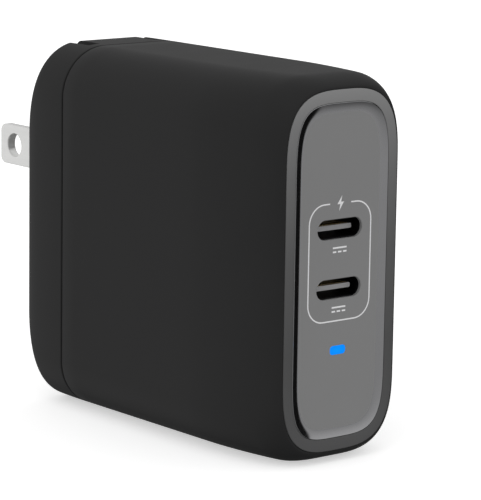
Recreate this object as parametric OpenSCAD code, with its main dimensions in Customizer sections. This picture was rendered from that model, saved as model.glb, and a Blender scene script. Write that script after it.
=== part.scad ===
// Folding-plug wall charger with two ports in a recessed front panel.
// The front faces -Y, the plug blades point along +Y, +Z is up, and the
// bottom of the case is at z = 0. Millimetres throughout.

/* [Case] */
// Width of the case, side to side
body_w = 27.7; // [26.5:0.1:30]
// Height of the case
body_h = 56.3; // [54:0.1:60]
// Depth of the case, front face to rear face, blades not counted
body_d = 59.5; // [57:0.1:64]
// Thickness of the case wall
wall = 1.8; // [1.5:0.1:2.1]
// Distance of the cap joint from the rear face
cap_depth = 10.5; // [9.5:0.1:12]
// Width of the long corner rounding of the case section
corner_w = 7.9; // [6.5:0.1:9]
// Height of the long corner rounding of the case section
corner_h = 7.7; // [6.5:0.1:9]
// How far the sides are blended into the front
side_blend = 17.8; // [12:0.2:20]
// How far the top and bottom are blended into the front
top_blend = 4.5; // [4:0.25:9]
// Width of the joint groove between shell and cap
groove_w = 0.25; // [0.1:0.05:0.4]

/* [Front] */
// Outer width of the bezel ring at the front face
ring_w = 20.8; // [19.5:0.1:22]
// Outer height of the bezel ring at the front face
ring_h = 52.6; // [50:0.1:54]
// Visible width of the bezel ring at its sides
ring_band = 1.65; // [1.3:0.05:1.9]
// Depth of the plate of the bezel ring
ring_t = 0.9; // [0.7:0.1:1.2]
// Depth of the dish in the front panel
dish_d = 0.35; // [0.1:0.05:0.45]
// Width of the hollow border of the dish
dish_w = 1.3; // [0.8:0.05:1.6]
// Height of the upper port above the bottom
port_upper_z = 34.3; // [33.5:0.1:36]
// Height of the lower port above the bottom
port_lower_z = 25.6; // [24:0.1:26.5]
// Height of the status light above the bottom
light_z = 16.6; // [14:0.1:18.5]
// Width of the status light window
light_w = 2.9; // [2:0.1:4]
// Height of the status light window
light_h = 1.3; // [1:0.1:2]

/* [Ports] */
// Width of a port shell, outside
port_w = 8.94; // [8.9:0.02:9]
// Height of a port shell, outside
port_h = 3.2; // [3.1:0.02:3.3]
// Thickness of the port shell metal
port_t = 0.3; // [0.2:0.05:0.35]
// Depth of a port shell
port_d = 7.2; // [6.5:0.1:7.6]

/* [Plug] */
// Width of a plug blade, across its flat side
blade_w = 6.35; // [6.1:0.05:6.6]
// Thickness of a plug blade
blade_t = 1.5; // [1.4:0.05:1.6]
// Length of the blades beyond the rear face
blade_l = 15.9; // [15.9:0.1:17]
// Distance between the centres of the two blades
blade_pitch = 12.7; // [12.5:0.1:12.9]
// Height of the blade centres above the bottom, blades out
blade_z = 38.1; // [37.6:0.1:38.4]
// Diameter of the hole near the tip of each blade
blade_hole_d = 3.7; // [3:0.1:4]
// Distance of that hole from the tip
blade_hole_in = 3.8; // [3.4:0.1:4.2]
// Height of the blade centres above the pivot
blade_offset = 1.5; // [1.3:0.1:1.7]
// Depth of the pivot below the rear face
pivot_depth = 3.5; // [3.4:0.1:3.7]

/* [Hidden] */

$fn = 48;
front_y = -(body_d + blade_l) / 2;
rear_y = front_y + body_d;
tip_y = rear_y + blade_l;
seam_y = rear_y - cap_depth;
mid_z = body_h / 2;
eps = 0.01;
corner_steps = 10;

// Rounding of the rear face: the sides curve in a little over a long way,
// the top and bottom curve in a lot over a short way.
rear_side_run = 10.5;
rear_side_in = 1.3;
rear_top_run = 3.5;
rear_top_in = 12.9;
rear_corner_share = 0.3;
ring_corner_w = ring_w / 2 - 0.02;
ring_corner_h = 12.5;
ring_band_top = 1.85;
inner_corner_w = ring_w / 2 - ring_band - 0.02;
inner_corner_h = 11.9;
// Squareness of the corners: 2 is an ellipse, more is squarer
case_square = 2;
ring_square = 3.2;
inner_square = 3.9;
// Bend of the blend into the front: 2 is an ellipse, less is flatter
front_bend = 1.6;

// Opening of the ring, half sizes
open_a = ring_w / 2 - ring_band;
open_b = ring_h / 2 - ring_band_top;
skirt_t = 1.25;
skirt_d = 5;
ledge_y = front_y + 2;
ledge_t = 1;
fit_gap = 0.05;
panel_back_y = ledge_y;
cap_wall = 1.9;
lip_t = 1;
lip_d = 3;
lip_gap = 0.1;

// Pivot of the folding blades, along X
pivot_y = rear_y - pivot_depth;
pivot_z = blade_z - blade_offset;
barrel_r = 3.2;
barrel_half = 8.7;
journal_r = 1.6;
journal_end = 11;
bearing_gap = 0.04;
rib_x0 = 8.9;
rib_x1 = 11.3;
rib_z0 = pivot_z - 6.3;
rib_z1 = pivot_z + 6.3;
rib_front_y = pivot_y - 2.9;
boss_w = 3.4;
boss_back = -2;
boss_front = cap_wall_face() - pivot_y - fit_gap;
boss_low = -2.2;
boss_high = 5.1;
tail_l = 5.6;
tail_low = -1.6;
blade_root = 1.6;
slot_gap = 0.25;
slot_w = blade_t + 2 * slot_gap;
slot_floor_y = pivot_y - blade_offset - blade_w / 2 - slot_gap;
slot_base_z = pivot_z - barrel_r - 0.2;
channel_t = 0.8;
channel_z0 = pivot_z + 5.8;
leaf_t = 0.3;
tip_corner = 1.2;
screw_r = 0.75;
screw_head_r = 1.15;
screw_head_h = 0.9;
screw_l = 4.6;
screw_z = 5.3;
cap_plate_t = 1.5;

stake_r = 0.8;
stake_z = pivot_z - 10.6;
stake_l = 1;

// Boards
board_x = 9;
board_t = 1.2;
board_y0 = front_y + 11;
board_y1 = seam_y - 3.8;
board_half_z = 23.7;
port_front_y = front_y + 0.9;
port_board_y = port_front_y + port_d;
port_board_t = 1;
port_board_half_w = 8.4;
sheet_x = 10.9;
sheet_t = 0.2;

function cap_wall_face() = rear_y - cap_wall;

// Share of a quarter ellipse: 0 outside the run, 1 at its end
function ease(t, e = 2) = 1 - pow(1 - pow(max(0, min(1, t)), e), 1 / e);
function rear_share(y, run) = ease((y - (rear_y - run)) / run);
function front_share(y, run) = ease((front_y + run - y) / run, front_bend);

// Half width, half height and corner sizes of the case section at y
function half_w(y) = body_w / 2 - rear_side_in * rear_share(y, rear_side_run)
    - (body_w - ring_w) / 2 * front_share(y, side_blend);
function half_h(y) = body_h / 2 - rear_top_in * rear_share(y, rear_top_run)
    - (body_h - ring_h) / 2 * front_share(y, top_blend);
function cor_w(y) = corner_w + (ring_corner_w - corner_w) * front_share(y, side_blend)
    - rear_corner_share * rear_side_in * rear_share(y, rear_side_run);
function cor_h(y) = corner_h + (ring_corner_h - corner_h) * front_share(y, side_blend)
    - rear_corner_share * rear_top_in * rear_share(y, rear_top_run);

function cor_square(y) = case_square + (ring_square - case_square) * front_share(y, side_blend);

// A rectangle with superelliptical corners, about the centre of the case section
function bow(c, e) = pow(abs(c), 2 / e);
function outline(a, b, cw, ch, e = inner_square, n = corner_steps) = [
    for (q = [0:3]) for (i = [0:n])
        let (t = (q % 2 == 0 ? i : n - i) * 90 / n,
            sx = (q == 0 || q == 3) ? 1 : -1, sz = q < 2 ? 1 : -1)
        [sx * (a - cw + cw * bow(cos(t), e)), mid_z + sz * (b - ch + ch * bow(sin(t), e))]];
function section(y, inset = 0) = outline(half_w(y) - inset, half_h(y) - inset,
    max(1, cor_w(y) - inset), max(1, cor_h(y) - inset), cor_square(y));
function inner_section(y) = section(min(y + 0.6, rear_y - 1), wall);

// Stations along the depth, closer together where the surface bends
front_steps = 7;
rear_steps = 7;
STATIONS = concat(
    [for (i = [0:front_steps]) front_y + side_blend * (1 - cos(i * 90 / front_steps))],
    [for (i = [0:3]) rear_y - rear_side_run + i * (rear_side_run - rear_top_run) / 3],
    [for (i = [1:rear_steps]) rear_y - rear_top_run * (1 - sin(i * 90 / rear_steps))]);
function stations(y0, y1) = concat([y0],
    [for (y = STATIONS) if (y > y0 + 0.04 && y < y1 - 0.04) y], [y1]);

// Solid through a list of outlines, one at each y
module skin(ys, rings) {
    n = len(rings[0]);
    m = len(ys);
    pts = [for (k = [0:m - 1]) for (p = rings[k]) [p[0], ys[k], p[1]]];
    sides = [for (k = [0:m - 2]) for (i = [0:n - 1])
        let (j = (i + 1) % n) for (f = [
            [k * n + i, k * n + j, (k + 1) * n + i],
            [k * n + j, (k + 1) * n + j, (k + 1) * n + i]]) f];
    polyhedron(points = pts, faces = concat(sides,
        [[for (i = [n - 1:-1:0]) i]],
        [[for (i = [0:n - 1]) (m - 1) * n + i]]), convexity = 4);
}

module case_solid(y0, y1, inset = 0) {
    ys = stations(y0, y1);
    skin(ys, [for (y = ys) section(y, inset)]);
}

module cavity_solid(y0, y1) {
    ys = [for (y = stations(y0, y1)) y];
    skin(ys, [for (y = ys) inner_section(y)]);
}

// Prism along Y of a 2D shape drawn in X and Z
module along_y(y0, y1) {
    translate([0, y1, 0]) rotate([90, 0, 0]) linear_extrude(y1 - y0) children();
}

// Prism along X of a 2D shape drawn in Y and Z
module along_x(x0, x1) {
    translate([x0, 0, 0]) rotate([90, 0, 90]) linear_extrude(x1 - x0) children();
}

module box(x0, x1, y0, y1, z0, z1) {
    translate([x0, y0, z0]) cube([x1 - x0, y1 - y0, z1 - z0]);
}

module rod_x(x0, x1, y, z, r) {
    translate([x0, y, z]) rotate([0, 90, 0]) cylinder(r = r, h = x1 - x0);
}

module rod_y(y0, y1, x, z, r) {
    translate([x, y1, z]) rotate([90, 0, 0]) cylinder(r = r, h = y1 - y0);
}

// Flat slot shape with round ends, centred, drawn in X and Z
module slot_2d(w, h, z) {
    translate([0, z]) {
        square([w - h, h], center = true);
        for (s = [-1, 1]) translate([s * (w - h) / 2, 0]) circle(d = h);
    }
}

// Rectangle with round corners, centred, drawn in X and Z
module round_rect(w, h, r, z) {
    translate([0, z]) {
        square([w - 2 * r, h], center = true);
        square([w, h - 2 * r], center = true);
        for (sx = [-1, 1], sz = [-1, 1])
            translate([sx * (w / 2 - r), sz * (h / 2 - r)]) circle(r = r);
    }
}

// ---------------------------------------------------------------- case

rail_x0 = board_x + board_t + fit_gap;
rail_t = 0.55;
rail_z = board_half_z - 0.7;

// Outer outline of the bezel ring, which sits in the front of the shell
ring_proud = 0.12;
ring_gap = 0.02;
module ring_outer(grow = 0) {
    polygon(outline(ring_w / 2 + grow, ring_h / 2 + grow, ring_corner_w + grow,
        ring_corner_h + grow, ring_square));
}

module main_shell() color([0.16, 0.16, 0.17]) {
    difference() {
        case_solid(front_y + ring_proud, seam_y);
        cavity_solid(front_y + 3, seam_y + 1);
        along_y(front_y - 1, front_y + ring_t) ring_outer(ring_gap);
        along_y(front_y, front_y + 3.5)
            polygon(outline(open_a + skirt_t + fit_gap, open_b + skirt_t + fit_gap,
                inner_corner_w + skirt_t, inner_corner_h + skirt_t));
    }
    // Rails that grip the edges of the main board
    for (s = [-1, 1]) for (rail = [[rail_x0, 2.4], [board_x - fit_gap - rail_t, 3.4]])
        translate([rail[0], board_y0 + 2, mid_z + s * (rail_z + rail[1] / 2) - rail[1] / 2])
            cube([rail_t, 30, rail[1]]);
}

module rear_cap() color([0.16, 0.16, 0.17]) {
    difference() {
        union() {
            difference() {
                union() {
                    case_solid(seam_y, seam_y + 1, 0.3);
                    case_solid(seam_y + groove_w, rear_y);
                }
                cavity_solid(seam_y - 1, cap_wall_face());
            }
            // Lip that plugs into the main shell
            difference() {
                along_y(seam_y - lip_d, seam_y + 1.5)
                    polygon(section(seam_y - 4, wall + lip_gap));
                along_y(seam_y - lip_d - 1, seam_y + 2)
                    polygon(section(seam_y - 4, wall + lip_gap + lip_t));
            }
            // Channels that the folded blades lie in
            for (s = [-1, 1]) intersection() {
                box(s * blade_pitch / 2 - slot_w / 2 - channel_t,
                    s * blade_pitch / 2 + slot_w / 2 + channel_t,
                    slot_floor_y - channel_t, rear_y, channel_z0, body_h);
                case_solid(seam_y + groove_w, rear_y, 0.6);
            }
            // Stake that holds the detent spring
            rod_y(cap_wall_face() - stake_l, cap_wall_face() + 0.5, 0, stake_z, stake_r);
            // Bearing ribs
            for (s = [-1, 1]) box(s > 0 ? rib_x0 : -rib_x1, s > 0 ? rib_x1 : -rib_x0,
                rib_front_y, cap_wall_face() + 0.5, rib_z0, rib_z1);
        }
        // Window for the barrel
        box(-rib_x0 - fit_gap, rib_x0 + fit_gap, cap_wall_face() - 1, rear_y + 1,
            slot_base_z, pivot_z + barrel_r + 0.2);
        // Slots for the blades, open at the top and at the rear
        for (s = [-1, 1]) box(s * blade_pitch / 2 - slot_w / 2, s * blade_pitch / 2 + slot_w / 2,
            slot_floor_y, rear_y + 1, pivot_z, body_h + 1);
        // Bearing seats, open towards the front
        for (s = [-1, 1]) {
            x0 = s > 0 ? rib_x0 - 1 : -journal_end - 0.1;
            x1 = s > 0 ? journal_end + 0.1 : -rib_x0 + 1;
            rod_x(x0, x1, pivot_y, pivot_z, journal_r + bearing_gap);
            box(x0, x1, rib_front_y - 1, pivot_y, pivot_z - journal_r - bearing_gap,
                pivot_z + journal_r + bearing_gap);
            for (t = [-1, 1]) rod_y(rib_front_y - 1, rib_front_y + screw_l - cap_plate_t + 0.3,
                s * (rib_x0 + rib_x1) / 2, pivot_z + t * screw_z, screw_r);
        }
    }
}

// ---------------------------------------------------------------- front

module bezel_ring() color([0.36, 0.36, 0.37]) difference() {
    union() {
        along_y(front_y, front_y + ring_t) ring_outer();
        along_y(front_y + ring_t - 0.1, front_y + skirt_d)
            polygon(outline(open_a + skirt_t, open_b + skirt_t,
                inner_corner_w + skirt_t, inner_corner_h + skirt_t));
    }
    along_y(front_y - 1, ledge_y)
        polygon(outline(open_a, open_b, inner_corner_w, inner_corner_h));
    along_y(front_y, ledge_y + ledge_t)
        polygon(outline(open_a - 0.9, open_b - 0.9, inner_corner_w - 0.9, inner_corner_h - 0.9));
    along_y(ledge_y + ledge_t, front_y + skirt_d + 1)
        polygon(outline(open_a, open_b, inner_corner_w, inner_corner_h));
}

dish_steps = 4;
dish_rim = 0.12;
function dish_y(k) = front_y + dish_d * (1 - pow(1 - k / dish_steps, 2));
port_open_w = port_w - 2 * port_t + 0.06;
port_open_h = port_h - 2 * port_t + 0.3;

module front_panel() color([0.45, 0.45, 0.46]) difference() {
    along_y(front_y + 0.02, panel_back_y)
        polygon(outline(open_a - fit_gap, open_b - fit_gap, inner_corner_w - fit_gap,
                inner_corner_h - fit_gap));
    // Dish with a hollow border
    skin([for (k = [0:dish_steps]) dish_y(k)], [for (k = [0:dish_steps])
        let (s = dish_rim + dish_w * k / dish_steps)
        outline(open_a - s, open_b - s, inner_corner_w - s, inner_corner_h - s)]);
    // Openings for the plugs, wider behind the front web to take the shells
    for (z = [port_upper_z, port_lower_z]) {
        along_y(front_y - 1, panel_back_y + 1) slot_2d(port_open_w, port_open_h, z);
        along_y(port_front_y - 0.05, panel_back_y + 1) slot_2d(port_w + 0.16, port_h + 0.16, z);
    }
    along_y(front_y - 1, panel_back_y + 1)
        round_rect(light_w + 0.04, light_h + 0.04, 0.5, light_z);
}

module light_pipe() color([0.1, 0.55, 1]) {
    along_y(front_y + dish_d, panel_back_y + 1)
        round_rect(light_w, light_h, 0.5, light_z);
    along_y(panel_back_y, panel_back_y + 0.8)
        round_rect(light_w + 1.2, light_h + 1.2, 0.8, light_z);
    rod_y(panel_back_y + 0.6, port_board_y - 0.9, 0, light_z, 0.9);
}

module led() color([0.9, 0.92, 0.95])
    box(-0.8, 0.8, port_board_y - 0.8, port_board_y, light_z - 0.4, light_z + 0.4);

module usb_shell(z) color([0.55, 0.55, 0.57]) difference() {
    along_y(port_front_y, port_board_y) slot_2d(port_w, port_h, z);
    along_y(port_front_y - 1, port_board_y - 0.4)
        slot_2d(port_w - 2 * port_t, port_h - 2 * port_t, z);
    along_y(port_front_y, port_board_y + 1) round_rect(6.9, 1.4, 0.2, z);
}
module usb_shell_upper() usb_shell(port_upper_z);
module usb_shell_lower() usb_shell(port_lower_z);

tongue_w = 6.7;
tongue_h = 0.7;
tongue_front_y = port_front_y + 0.9;
contact_n = 12;
contact_pitch = 0.5;
contact_t = 0.06;
contact_gap = 0.0;

// Tongue and moulded base of a port, one piece
module usb_tongue(z) color([0.72, 0.72, 0.72]) {
    along_y(tongue_front_y, port_board_y) round_rect(tongue_w, tongue_h, 0.2, z);
    along_y(port_board_y - 2.2, port_board_y - 0.4 - eps)
        slot_2d(port_w - 2 * port_t - 0.1, port_h - 2 * port_t - 0.1, z);
}
module usb_tongue_upper() usb_tongue(port_upper_z);
module usb_tongue_lower() usb_tongue(port_lower_z);

// Gold contacts on both faces of the tongue, one group for each port
module usb_contacts(z) color([0.85, 0.68, 0.3])
    for (i = [0:contact_n - 1]) for (s = [-1, 1])
        translate([(i - (contact_n - 1) / 2) * contact_pitch - 0.125, tongue_front_y + 0.4,
            z + s * (tongue_h / 2 + contact_t / 2) - contact_t / 2])
            cube([0.25, 3.6, contact_t]);
module usb_contacts_upper() usb_contacts(port_upper_z);
module usb_contacts_lower() usb_contacts(port_lower_z);

// ---------------------------------------------------------------- port board

port_board_z0 = 9;
port_board_z1 = 44;

module port_board() color([0.05, 0.35, 0.2]) box(-port_board_half_w, port_board_half_w,
    port_board_y, port_board_y + port_board_t, port_board_z0, port_board_z1);

module port_controllers() color([0.1, 0.1, 0.11])
    for (z = [port_upper_z + 2, port_lower_z - 2])
        box(-6, -2, port_board_y + port_board_t, port_board_y + port_board_t + 0.9, z - 2, z + 2);

// Pin strip between the two boards
module board_link() color([0.12, 0.12, 0.13])
    box(board_x - 3.2, board_x, port_board_y + port_board_t, board_y0 + 3, 20, 31);

// ---------------------------------------------------------------- main board

module main_board() color([0.06, 0.38, 0.22]) box(board_x, board_x + board_t,
    board_y0, board_y1, mid_z - board_half_z, mid_z + board_half_z);

// Transformer, winding axis along Z
trafo_x = -2;
trafo_y = -12.1;
trafo_z = 38.2;
core_half_x = 6.6;
core_half_y = 9.4;
core_half_z = 10.2;
core_plate = 2.7;
core_leg = 2.4;
core_post_r = 3.4;
bobbin_r = 4.1;
flange_r = 6.5;
flange_t = 0.7;
winding_r = 6;
tape_r = 6.3;
window_half = core_half_z - core_plate - fit_gap;

module transformer_core() color([0.2, 0.2, 0.21])
    for (s = [-1, 1]) translate([trafo_x, trafo_y, trafo_z]) mirror([0, 0, s < 0 ? 1 : 0]) {
        translate([-core_half_x, -core_half_y, core_half_z - core_plate])
            cube([2 * core_half_x, 2 * core_half_y, core_plate]);
        for (t = [-1, 1])
            translate([-core_half_x, t > 0 ? core_half_y - core_leg : -core_half_y, fit_gap / 2])
                cube([2 * core_half_x, core_leg, core_half_z - core_plate]);
        translate([0, 0, fit_gap / 2]) cylinder(r = core_post_r, h = core_half_z - 1);
    }

module transformer_bobbin() color([0.15, 0.15, 0.16])
    translate([trafo_x, trafo_y, trafo_z]) difference() {
        union() {
            cylinder(r = bobbin_r, h = 2 * window_half, center = true);
            for (s = [-1, 1]) translate([0, 0, s * (window_half - flange_t / 2)]) {
                cylinder(r = flange_r, h = flange_t, center = true);
                translate([0, -5, -flange_t / 2])
                    cube([board_x - trafo_x, 10, flange_t]);
            }
        }
        cylinder(r = core_post_r + fit_gap, h = 4 * window_half, center = true);
    }

module tube_z(r_out, r_in, h) difference() {
    cylinder(r = r_out, h = h, center = true);
    cylinder(r = r_in, h = h + 1, center = true);
}

module transformer_winding() color([0.72, 0.42, 0.2])
    translate([trafo_x, trafo_y, trafo_z])
        tube_z(winding_r, bobbin_r, 2 * (window_half - flange_t));

module transformer_tape() color([0.9, 0.75, 0.2])
    translate([trafo_x, trafo_y, trafo_z])
        tube_z(tape_r, winding_r, 2 * (window_half - flange_t) - 0.2);

// Cans that stand on the main board with their tops towards -X
module can(y, z, r, l) {
    rod_x(board_x - l, board_x, y, z, r);
}

module input_capacitors() color([0.12, 0.12, 0.3])
    for (z = [10.2, 20.8]) can(1.6, z, 5, 18);

module output_capacitors() color([0.7, 0.7, 0.72])
    for (z = [10.4, 19]) can(-15.6, z, 4, 12);

module x_capacitor() color([0.85, 0.75, 0.2])
    box(board_x - 11, board_x, -10.6, -4.4, 6.5, 19.5);

module y_capacitor() color([0.15, 0.35, 0.7]) {
    rod_x(board_x - 4.2, board_x - 1.2, -7.5, 23.6, 3.2);
    for (s = [-1, 1]) rod_x(board_x - 1.4, board_x, -7.5 + s * 2, 23.6, 0.3);
}

choke_y = 2.5;
choke_z = 32.2;
choke_r = 4.2;
choke_hole_r = 1.9;

module choke_core() color([0.25, 0.4, 0.3])
    translate([board_x - 6, choke_y, choke_z]) rotate([0, 90, 0]) difference() {
        cylinder(r = choke_r, h = 4);
        translate([0, 0, -1]) cylinder(r = choke_hole_r, h = 6);
    }

// Two half windings around the toroid
module choke_winding() color([0.75, 0.42, 0.18])
    for (s = [-1, 1]) translate([board_x - 6.7, choke_y, choke_z]) rotate([0, 90, 0])
        difference() {
            intersection() {
                cylinder(r = choke_r + 0.7, h = 5.4);
                translate([-choke_r, s > 0 ? 1 : -choke_r - 2, -1])
                    cube([2 * choke_r, choke_r + 1, 8]);
            }
            translate([0, 0, 0.7]) cylinder(r = choke_r, h = 4);
            translate([0, 0, -1]) cylinder(r = choke_hole_r - 0.7, h = 8);
        }

module bridge_rectifier() color([0.1, 0.1, 0.1])
    box(board_x - 3, board_x, -1, 6, 45.5, 50.5);

module fuse() color([0.75, 0.72, 0.6]) {
    rod_x(board_x - 8, board_x - 1.5, 4.7, 41.4, 2.1);
    rod_x(board_x - 1.6, board_x, 4.7, 41.4, 0.35);
}

module thermistor() color([0.2, 0.45, 0.25]) {
    rod_x(board_x - 4.5, board_x - 2.2, 0.3, 41.8, 1.7);
    rod_x(board_x - 2.4, board_x, 0.3, 41.8, 0.3);
}

module power_transistor() color([0.1, 0.1, 0.1])
    box(board_x - 1.4, board_x, -26, -22, 33, 38.5);

module primary_controller() color([0.1, 0.1, 0.1])
    box(board_x - 1.5, board_x, -14, -9, 49.2, 50.8);

module optocoupler() color([0.85, 0.85, 0.85])
    box(board_x - 2.4, board_x, -19, -14.5, 23.8, 26.6);

module heat_spreader() color([0.75, 0.76, 0.78])
    box(-11.5, -11, -20, 5.5, 10, 46.5);

module thermal_pad() color([0.5, 0.62, 0.7])
    box(-11, trafo_x - core_half_x, trafo_y - 6, trafo_y + 6, trafo_z - 7.4 + 0.2, trafo_z + 7.2);

module insulation_sheet() color([0.85, 0.85, 0.8])
    box(sheet_x, sheet_x + sheet_t, board_y0 + 1, board_y1 - 1, mid_z - 21.5, mid_z + 21.5);

// ---------------------------------------------------------------- mains entry

spring_x = blade_pitch / 2;
spring_w = 2.6;
spring_t = 0.35;
spring_pad_y = pivot_y - tail_l - 0.02;
spring_leg_z = pivot_z - 2.5;
block_y0 = seam_y - 3.2;
block_y1 = seam_y - 1.6;
block_half_w = body_w / 2 - wall - lip_gap - lip_t - fit_gap;

module terminal_block() color([0.85, 0.84, 0.78]) difference() {
    box(-block_half_w, block_half_w, block_y0, block_y1, spring_leg_z - 2, spring_leg_z + 2.2);
    for (s = [-1, 1]) box(s * spring_x - spring_w / 2, s * spring_x + spring_w / 2,
        block_y0 - 1, block_y1 + 1, spring_leg_z, spring_leg_z + spring_t);
}

// Sprung contacts that press on the blade tails
module contact_springs() color([0.8, 0.62, 0.35])
    for (s = [-1, 1]) {
        box(s * spring_x - spring_w / 2, s * spring_x + spring_w / 2,
            block_y0 - 1, spring_pad_y, spring_leg_z, spring_leg_z + spring_t);
        box(s * spring_x - spring_w / 2, s * spring_x + spring_w / 2,
            spring_pad_y - spring_t, spring_pad_y, spring_leg_z, pivot_z + 0.2);
    }

wire_r = 0.7;
wire_y = block_y0 - 0.75;

// Two insulated leads from the contacts to the main board
module input_wires() color([0.6, 0.1, 0.1])
    for (s = [-1, 1]) {
        z = spring_leg_z + spring_t + wire_r + (s > 0 ? 0 : 1.6);
        x = s * spring_x;
        if (s < 0) translate([x, wire_y, spring_leg_z + spring_t])
            cylinder(r = wire_r, h = z - spring_leg_z - spring_t);
        translate([x, wire_y, z]) sphere(r = wire_r);
        rod_x(x, board_x, wire_y, z, wire_r);
    }

// ---------------------------------------------------------------- folding plug

// Everything below turns about the line y = pivot_y, z = pivot_z.

module blade_outline() {
    y1 = tip_y;
    z0 = blade_z - blade_w / 2;
    z1 = blade_z + blade_w / 2;
    difference() {
        union() {
            translate([pivot_y - blade_root, z0]) square([y1 - tip_corner - pivot_y + blade_root, blade_w]);
            translate([y1 - tip_corner - eps, z0 + tip_corner])
                square([tip_corner + eps, blade_w - 2 * tip_corner]);
            for (z = [z0 + tip_corner, z1 - tip_corner]) translate([y1 - tip_corner, z])
                circle(r = tip_corner);
            translate([pivot_y - tail_l, pivot_z + tail_low])
                square([tail_l - blade_root + eps, -tail_low]);
        }
        translate([y1 - blade_hole_in, blade_z]) circle(d = blade_hole_d);
    }
}

module blade(s) color([0.86, 0.86, 0.87])
    along_x(s * blade_pitch / 2 - blade_t / 2, s * blade_pitch / 2 + blade_t / 2)
        blade_outline();
module blade_left() blade(-1);
module blade_right() blade(1);

flat_d = 0.25;
flat_half = 3.2;

module prong_carrier() color([0.13, 0.13, 0.14]) difference() {
    union() {
        rod_x(-barrel_half, barrel_half, pivot_y, pivot_z, barrel_r);
        rod_x(-journal_end, journal_end, pivot_y, pivot_z, journal_r);
        for (s = [-1, 1]) box(s * blade_pitch / 2 - boss_w / 2, s * blade_pitch / 2 + boss_w / 2,
            pivot_y + boss_back, pivot_y + boss_front, pivot_z + boss_low, pivot_z + boss_high);
    }
    // Pockets that the blades are moulded into
    for (s = [-1, 1])
        along_x(s * blade_pitch / 2 - blade_t / 2, s * blade_pitch / 2 + blade_t / 2) {
            translate([pivot_y - blade_root, blade_z - blade_w / 2])
                square([blade_root + 6, blade_w]);
            translate([pivot_y - tail_l, pivot_z + tail_low])
                square([tail_l, -tail_low]);
        }
    // Two flats for the detent spring
    box(-flat_half, flat_half, pivot_y - barrel_r - 1, pivot_y - barrel_r + flat_d,
        pivot_z - 4, pivot_z + 4);
    box(-flat_half, flat_half, pivot_y - 4, pivot_y + 4,
        pivot_z + barrel_r - flat_d, pivot_z + barrel_r + 1);
}

// Two bars, each with a finger that closes a bearing seat
module bearing_caps() color([0.2, 0.2, 0.21]) for (s = [-1, 1]) difference() {
    x0 = s > 0 ? rib_x0 + fit_gap : -rib_x1;
    x1 = s > 0 ? rib_x1 : -rib_x0 - fit_gap;
    fx0 = s > 0 ? rib_x0 + fit_gap : -journal_end - 0.05;
    fx1 = s > 0 ? journal_end + 0.05 : -rib_x0 - fit_gap;
    union() {
        box(x0, x1, rib_front_y - cap_plate_t, rib_front_y, rib_z0, rib_z1);
        box(fx0, fx1, rib_front_y - 0.5, pivot_y, pivot_z - journal_r, pivot_z + journal_r);
    }
    rod_x(x0 - 1, x1 + 1, pivot_y, pivot_z, journal_r + bearing_gap);
    for (t = [-1, 1]) rod_y(rib_front_y - cap_plate_t - 1, rib_front_y + 1,
        s * (rib_x0 + rib_x1) / 2, pivot_z + t * screw_z, screw_r + fit_gap);
}

module bearing_screws() color([0.7, 0.7, 0.72]) for (s = [-1, 1]) for (t = [-1, 1]) {
    x = s * (rib_x0 + rib_x1) / 2;
    z = pivot_z + t * screw_z;
    y0 = rib_front_y - cap_plate_t;
    difference() {
        rod_y(y0 - screw_head_h, y0, x, z, screw_head_r);
        box(x - 0.2, x + 0.2, y0 - screw_head_h - 1, y0 - screw_head_h + 0.4, z - 0.8, z + 0.8);
        box(x - 0.8, x + 0.8, y0 - screw_head_h - 1, y0 - screw_head_h + 0.4, z - 0.2, z + 0.2);
    }
    rod_y(y0 - eps, y0 + screw_l, x, z, screw_r);
}

// Flat leaf that presses on the barrel and clicks onto its flats
leaf_half_w = 2.4;
leaf_y = pivot_y - barrel_r - 0.02;
leaf_z0 = pivot_z - 8.5;
leaf_z1 = pivot_z + 7.5;

module detent_spring() color([0.78, 0.79, 0.8]) {
    box(-leaf_half_w, leaf_half_w, leaf_y - leaf_t, leaf_y, leaf_z0, leaf_z1);
    box(-leaf_half_w, leaf_half_w, leaf_y - leaf_t, cap_wall_face(), leaf_z0 - leaf_t, leaf_z0);
    difference() {
        box(-leaf_half_w, leaf_half_w, cap_wall_face() - leaf_t, cap_wall_face(),
            stake_z - 1.7, leaf_z0 - leaf_t + eps);
        rod_y(cap_wall_face() - 1, cap_wall_face() + 1, 0, stake_z, stake_r + fit_gap);
    }
}

main_shell();
rear_cap();
bezel_ring();
front_panel();
light_pipe();
led();
port_board();
usb_shell_upper();
usb_shell_lower();
usb_tongue_upper();
usb_tongue_lower();
usb_contacts_upper();
usb_contacts_lower();
port_controllers();
board_link();
main_board();
transformer_core();
transformer_bobbin();
transformer_winding();
transformer_tape();
input_capacitors();
output_capacitors();
x_capacitor();
y_capacitor();
choke_core();
choke_winding();
bridge_rectifier();
fuse();
thermistor();
power_transistor();
primary_controller();
optocoupler();
heat_spreader();
thermal_pad();
insulation_sheet();
terminal_block();
contact_springs();
input_wires();
prong_carrier();
blade_left();
blade_right();
bearing_caps();
bearing_screws();
detent_spring();
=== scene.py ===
"""Looks of the folding-plug wall charger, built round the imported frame."""
import math

import bmesh
import bpy
from mathutils import Matrix, Vector


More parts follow.
